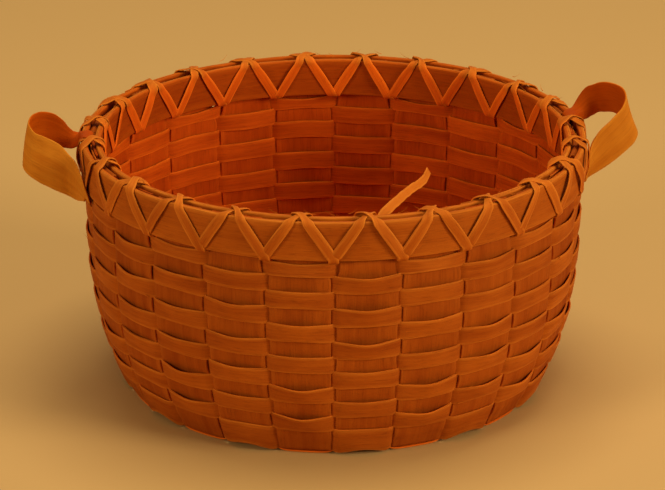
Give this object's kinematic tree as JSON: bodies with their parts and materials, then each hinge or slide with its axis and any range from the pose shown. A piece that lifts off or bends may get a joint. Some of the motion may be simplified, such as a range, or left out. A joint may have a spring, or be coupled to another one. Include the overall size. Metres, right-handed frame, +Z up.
{
  "type": "handled basket",
  "caption": "Small round open basket of woven wood splint with hoops, a crossed lashing round the rim and two ear handles, to hold light things on a table.",
  "frame": {"origin": "centre of the base on the surface that the basket stands on", "axes": "+Z up, +X towards the right handle, -Y towards the front"},
  "size_m": [0.2001, 0.166, 0.0961],
  "materials": {
    "stake_splint": "bare satin splint, darkened with age",
    "weaver_splint": "bare satin splint, darkened with age",
    "hoop_splint": "bare satin splint, darkened with age",
    "lashing_splint": "bare satin splint, paler and glossier than the wall",
    "handle_splint": "bare satin splint, polished by handling"
  },
  "bodies": {
    "root": {"stake_01": "stake_splint", "stake_02": "stake_splint", "stake_03": "stake_splint", "stake_04": "stake_splint", "stake_05": "stake_splint", "stake_06": "stake_splint", "stake_07": "stake_splint", "stake_08": "stake_splint", "stake_09": "stake_splint", "stake_10": "stake_splint", "stake_11": "stake_splint", "stake_12": "stake_splint", "wall_weaver_01": "weaver_splint", "wall_weaver_02": "weaver_splint", "wall_weaver_03": "weaver_splint", "wall_weaver_04": "weaver_splint", "wall_weaver_05": "weaver_splint", "wall_weaver_06": "weaver_splint", "wall_weaver_07": "weaver_splint", "wall_weaver_08": "weaver_splint", "wall_weaver_09": "weaver_splint", "wall_weaver_10": "weaver_splint", "wall_weaver_11": "weaver_splint", "wall_weaver_12": "weaver_splint", "base_weaver_01": "weaver_splint", "base_weaver_02": "weaver_splint", "base_weaver_03": "weaver_splint", "base_weaver_04": "weaver_splint", "base_weaver_05": "weaver_splint", "base_weaver_06": "weaver_splint", "rim_weaver": "weaver_splint", "outer_hoop": "hoop_splint", "inner_hoop": "hoop_splint", "lashing_first_pass": "lashing_splint", "lashing_return_pass": "lashing_splint", "right_handle": "handle_splint", "left_handle": "handle_splint"}
  },
  "joints": []
}
